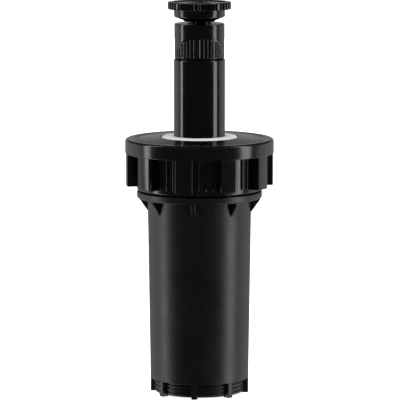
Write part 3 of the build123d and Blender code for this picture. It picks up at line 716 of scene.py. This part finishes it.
def spray_insert():
    """Insert with the lower spiral of the spray slot, a guide for the stem and two keys for the plug."""
    web_top = SPRAY_START - 0.9
    shells = [
        lathe(rounded([(SPRAY_R, SEAT_Z), (seat_high.x, SEAT_Z, 0.1), (seat_high.x, SEAT_FACE, 0.1),
                       (SPRAY_R, SEAT_FACE, 0.06)]), 160),
        lathe(rounded([(KEY_R + 0.3, SEAT_Z), (SPRAY_R + 0.1, SEAT_Z), (SPRAY_R + 0.1, web_top),
                       (KEY_R + 0.3, web_top)]), 96),
        lathe(rounded([(STEM_R + 0.07, SEAT_Z), (STEM_R + 0.8, SEAT_Z), (STEM_R + 0.8, web_top, 0.15),
                       (STEM_R + 0.07, web_top)]), 96),
        spiral_block(KEY_R + 0.35, SPRAY_R + 0.03, STEP_ANGLE, SPRAY_START - 1.2, SPRAY_START,
                     top_climbs=True)]
    for angle in all_round(SPOKE_COUNT, 180 / SPOKE_COUNT):
        shells.append(bar(STEM_R + 0.5, KEY_OUT_R, SPOKE_WIDTH, SEAT_Z, web_top, angle, edge=0.12))
    for angle in all_round(2):
        shells.append(bar(KEY_R, KEY_OUT_R, KEY_WIDTH, seat_low.z, SEAT_Z + 0.8, angle, edge=0.1))
    return piece("spray_insert", shells, "nozzle_plastic", ["spray_seat"], "nozzle")


def deflector_dish():
    """Deflector: dish with a spiral hub underneath, grooved stem and screw boss."""
    boss_top = deflector_high.z
    dish = rounded([
        (BOSS_R - 0.8, DISH_BOTTOM), (DISH_FLAT_R, DISH_BOTTOM, 0.1),
        (DISH_FLAT_R + 0.15, DISH_BOTTOM + 0.35, 0.15), (DISH_R, DISH_RIM, 0.6), (DISH_R, KNOB_BOTTOM),
        (DISH_R - DISH_WALL, KNOB_BOTTOM), (DISH_R - DISH_WALL, DISH_RIM + 1.1), (BOSS_R, DISH_BOTTOM + 1.9),
        (BOSS_R, boss_top, 0.2), (BOSS_BORE_R, boss_top, 0.1), (BOSS_BORE_R, screw_high.z - SCREW_HEAD),
        (BOSS_R - 0.8, DISH_BOTTOM + 1.5)])
    groove_low, groove_high = STEM_GROOVE
    groove_r = STEM_R - STEM_GROOVE_DEPTH
    stem = rounded([
        (SCREW_BORE_R, deflector_low.z), (STEM_R, deflector_low.z, 0.1), (STEM_R, groove_low),
        (groove_r, groove_low), (groove_r, groove_high), (STEM_R, groove_high),
        (STEM_R, DISH_BOTTOM + 0.3), (BOSS_R - 0.6, DISH_BOTTOM + 1), (BOSS_R - 0.6, O_RING_SEAT),
        (STEM_R, O_RING_SEAT), (SCREW_BORE_R, O_RING_SEAT - 0.6)])
    hub_low = SPRAY_START + SPRAY_LEAD * ARC_SET / 360 + SPRAY_GAP
    shells = [lathe(dish, 192), lathe(stem, 96),
              spiral_block(STEM_R - 0.3, HUB_R, STEP_ANGLE + ARC_SET, hub_low, DISH_BOTTOM + 1.3)]
    return piece("deflector_dish", shells, "nozzle_plastic", ["deflector"], "deflector")


def arc_knob():
    """Arc-setting knob: disc with a toothed rim and a shallow recessed face."""
    def teeth(r, z, angle):
        off = np.abs((angle / TURN * KNOB_TEETH + 0.5) % 1 - 0.5) * TURN / KNOB_TEETH * KNOB_R
        notch = np.maximum(KNOB_NOTCH - off, 0)
        return r - np.where(r > KNOB_R - 0.52, notch, 0), z

    face = KNOB_TOP - KNOB_DISH
    hub = KNOB_TOP - 0.1
    outline = rounded([
        (BOSS_R, KNOB_BOTTOM), (KNOB_R, KNOB_BOTTOM, 0.35), (KNOB_R, KNOB_TOP, 0.45),
        (KNOB_R - 1.9, KNOB_TOP, 0.1), (KNOB_R - 2.2, face, 0.1), (BOSS_R + 1.3, face, 0.1),
        (BOSS_R + 1.0, hub, 0.1), (BOSS_R, hub, 0.2)])
    return piece("arc_knob", [lathe(refined(outline, 1.0), KNOB_TEETH * 12, teeth)], "nozzle_plastic",
                 ["arc_ring"], "deflector")


def throttle_screw():
    """Slotted stainless screw with a threaded shank."""
    head_r, head_z, top = screw_high.x, screw_high.z - SCREW_HEAD, screw_high.z
    slot_floor = top - SCREW_SLOT_DEPTH

    def shank_thread(r, z, angle):
        on_shank = (np.abs(r - SCREW_R) < NEAR) & (z < RISER_TOP)
        share = thread(z, angle, screw_low.z + 0.3, **SCREW_THREAD)
        return r - np.where(on_shank, (1 - share) * SCREW_THREAD_DEPTH, 0), z

    shank = refined(rounded([(0, screw_low.z), (SCREW_R, screw_low.z, 0.3), (SCREW_R, head_z + 0.2),
                             (0, head_z + 0.2)]), 0.07)
    shells = [lathe(shank, 48, shank_thread),
              lathe(rounded([(0, head_z), (head_r, head_z, 0.1), (head_r, slot_floor), (0, slot_floor)]), 96)]
    half = math.acos(SCREW_SLOT / 2 / head_r)
    arc = [(head_r * math.sin(a), head_r * math.cos(a)) for a in np.linspace(-half, half, 25)]
    for angle in (0, 180):
        shells.append(turned_to(prism(arc, slot_floor - 0.1, top, 0.15, 3), angle))
    return piece("throttle_screw", shells, "stainless", ["flow_screw"], "flow_screw")


def return_spring():
    """Compression spring with closed end coils, squeezed under the washer."""
    low = spring_low.z + SPRING_WIRE / 2
    high = spring_high.z - SPRING_WIRE / 2
    share = np.linspace(0, 1, int(SPRING_TURNS * 48))
    rise = smooth(0.05, 0.16, share) * 0.5 + smooth(0.84, 0.95, share) * 0.5
    height = low + (high - low) * (0.86 * share + 0.14 * rise)
    turn = share * SPRING_TURNS * TURN
    path = np.stack([SPRING_R * np.cos(turn), SPRING_R * np.sin(turn), height], axis=1)
    made = piece("return_spring", [wire(path, SPRING_WIRE / 2)], "stainless_wire", ["retraction_spring"])
    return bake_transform(made)


def filter_screen():
    """Screen sleeve of the filter basket: upright and round strands."""
    r = screen_high.x - SCREEN_UPRIGHT
    low, high = screen_low.z, screen_high.z
    square = np.array([(-1, -1), (1, -1), (1, 1), (-1, 1)])
    upright = [(r + SCREEN_UPRIGHT * x, SCREEN_UPRIGHT * y) for x, y in square]
    strands = [turned_to(prism(upright, low, high, 0.04, 1), angle) for angle in all_round(SCREEN_STRANDS)]
    for z in np.arange(low + 0.2, high, SCREEN_STEP):
        strands.append(lathe(square * SCREEN_ROUND + (r, z), 80))
    return piece("filter_screen", strands, "screen_mesh", ["filter_mesh"], "riser")


for make in (case_shell, cap_shell, wiper_lip, riser_sleeve, nozzle_body, spray_insert, deflector_dish,
             arc_knob, throttle_screw, return_spring, filter_screen):
    make()

# ---- the CAD nodes that stay on show ------------------------------------------------------
for part in frame["record"]["subparts"]:
    node = frame["nodes"][part["node"]]
    node.data.materials.clear()
    node.data.materials.append(MATERIALS[part["material_slot"]])


# ---- floor, light and camera --------------------------------------------------------------
FLOOR_SIDE = 30.0
FLOOR_GLOW = 0.86
FRONT_LIGHT = 0.05         # what the surfaces mirror in front of the object and low down
DOME_LIGHT = 0.12
SIDE_LIGHT = 0.8           # pale screens behind, to the left and the right
SIDE_EDGE = (0.08, 0.26)   # share of a direction that points away from the camera, where they begin
WALL_LIGHT = 0.38          # the wall straight behind
WALL_EDGE = (0.45, 0.95)
WALL_HEIGHT = (0.15, 0.30)
DOME_HEIGHT = (0.0, 0.5)
STRIP_DISTANCE = 0.6       # metres
STRIP_HEIGHT = 0.07
STRIP_TALL = 1.6
CAMERA_LENS = 313.2        # on a sensor 36 mm wide
CAMERA_PITCH = 7.55        # degrees down
CAMERA_DISTANCE = 1.335
CAMERA_AIM = (0.0002, 0, 0.0744)


def floor():
    """Pale floor that the object stands on."""
    mesh = bpy.data.meshes.new("floor")
    corners = [(x * FLOOR_SIDE, y * FLOOR_SIDE, 0) for x, y in ((-1, -1), (1, -1), (1, 1), (-1, 1))]
    mesh.from_pydata(corners, [], [(0, 1, 2, 3)])
    n = Nodes("floor", Base_Color=(0.9, 0.9, 0.9, 1), Roughness=0.8, Emission_Color=(1, 1, 1, 1),
              Emission_Strength=FLOOR_GLOW)
    mesh.materials.append(n.material)
    made = bpy.data.objects.new("floor", mesh)
    bpy.context.scene.collection.objects.link(made)
    made.visible_diffuse = False
    made.visible_glossy = False
    made.visible_shadow = False


def strip_light(name, azimuth, width, power):
    """Tall rectangular light facing the axis. Azimuth 0 is the camera's side, 90 is +X."""
    light = bpy.data.lights.new(name, "AREA")
    light.shape = "RECTANGLE"
    light.size, light.size_y = width, STRIP_TALL
    light.energy = power
    made = bpy.data.objects.new(name, light)
    a = math.radians(azimuth)
    place = Vector((math.sin(a) * STRIP_DISTANCE, -math.cos(a) * STRIP_DISTANCE, STRIP_HEIGHT))
    made.location = place
    made.rotation_euler = (Vector((0, 0, STRIP_HEIGHT)) - place).to_track_quat("-Z", "Y").to_euler()
    made.visible_camera = False
    bpy.context.scene.collection.objects.link(made)


def world():
    """White backdrop and soft white light. Gloss mirrors a dark room with pale screens low behind."""
    made = bpy.data.worlds.new("studio")
    made.use_nodes = True
    tree = made.node_tree
    tree.nodes.clear()
    place = tree.nodes.new("ShaderNodeTexCoord")
    axes = tree.nodes.new("ShaderNodeSeparateXYZ")
    tree.links.new(place.outputs["Generated"], axes.inputs[0])

    def ramp(axis, edge, low, high):
        start, end = edge
        node = tree.nodes.new("ShaderNodeMapRange")
        node.interpolation_type = "SMOOTHSTEP"
        tree.links.new(axes.outputs[axis], node.inputs["Value"])
        limits = {"From Min": start, "From Max": end, "To Min": low, "To Max": high}
        for socket, value in limits.items():
            node.inputs[socket].default_value = value
        return node.outputs["Result"]

    def combined(operation, first, second):
        node = tree.nodes.new("ShaderNodeMath")
        node.operation = operation
        tree.links.new(first, node.inputs[0])
        tree.links.new(second, node.inputs[1])
        return node.outputs[0]

    behind = combined("MINIMUM", ramp("Y", SIDE_EDGE, 0, SIDE_LIGHT),
                      ramp("Y", WALL_EDGE, SIDE_LIGHT, WALL_LIGHT))
    wall = combined("MULTIPLY", behind, ramp("Z", WALL_HEIGHT, 1, 0))
    above = ramp("Z", DOME_HEIGHT, FRONT_LIGHT, DOME_LIGHT)
    mirrored = tree.nodes.new("ShaderNodeBackground")
    tree.links.new(combined("MAXIMUM", wall, above), mirrored.inputs["Strength"])
    backdrop = tree.nodes.new("ShaderNodeBackground")
    for node in (mirrored, backdrop):
        node.inputs["Color"].default_value = (1, 1, 1, 1)
    backdrop.inputs["Strength"].default_value = 1.0
    rays = tree.nodes.new("ShaderNodeLightPath")
    mix = tree.nodes.new("ShaderNodeMixShader")
    white_for = combined("MAXIMUM", rays.outputs["Is Camera Ray"], rays.outputs["Is Diffuse Ray"])
    tree.links.new(white_for, mix.inputs["Fac"])
    tree.links.new(mirrored.outputs[0], mix.inputs[1])
    tree.links.new(backdrop.outputs[0], mix.inputs[2])
    out = tree.nodes.new("ShaderNodeOutputWorld")
    tree.links.new(mix.outputs[0], out.inputs["Surface"])
    bpy.context.scene.world = made


def camera():
    """Long lens, looking slightly down at the middle of the head."""
    data = bpy.data.cameras.new("camera")
    data.sensor_width = 36.0
    data.lens = CAMERA_LENS
    data.clip_start, data.clip_end = 0.05, 100.0
    made = bpy.data.objects.new("camera", data)
    pitch = math.radians(CAMERA_PITCH)
    back = Vector((0, -math.cos(pitch), math.sin(pitch)))
    made.location = Vector(CAMERA_AIM) + CAMERA_DISTANCE * back
    made.rotation_euler = (math.pi / 2 - pitch, 0, 0)
    bpy.context.scene.collection.objects.link(made)
    bpy.context.scene.camera = made


floor()
strip_light("left_strip", -87, 0.105, 2.8)
strip_light("right_strip", 75, 0.19, 3.9)
world()
camera()
bpy.context.scene.view_settings.view_transform = "Standard"
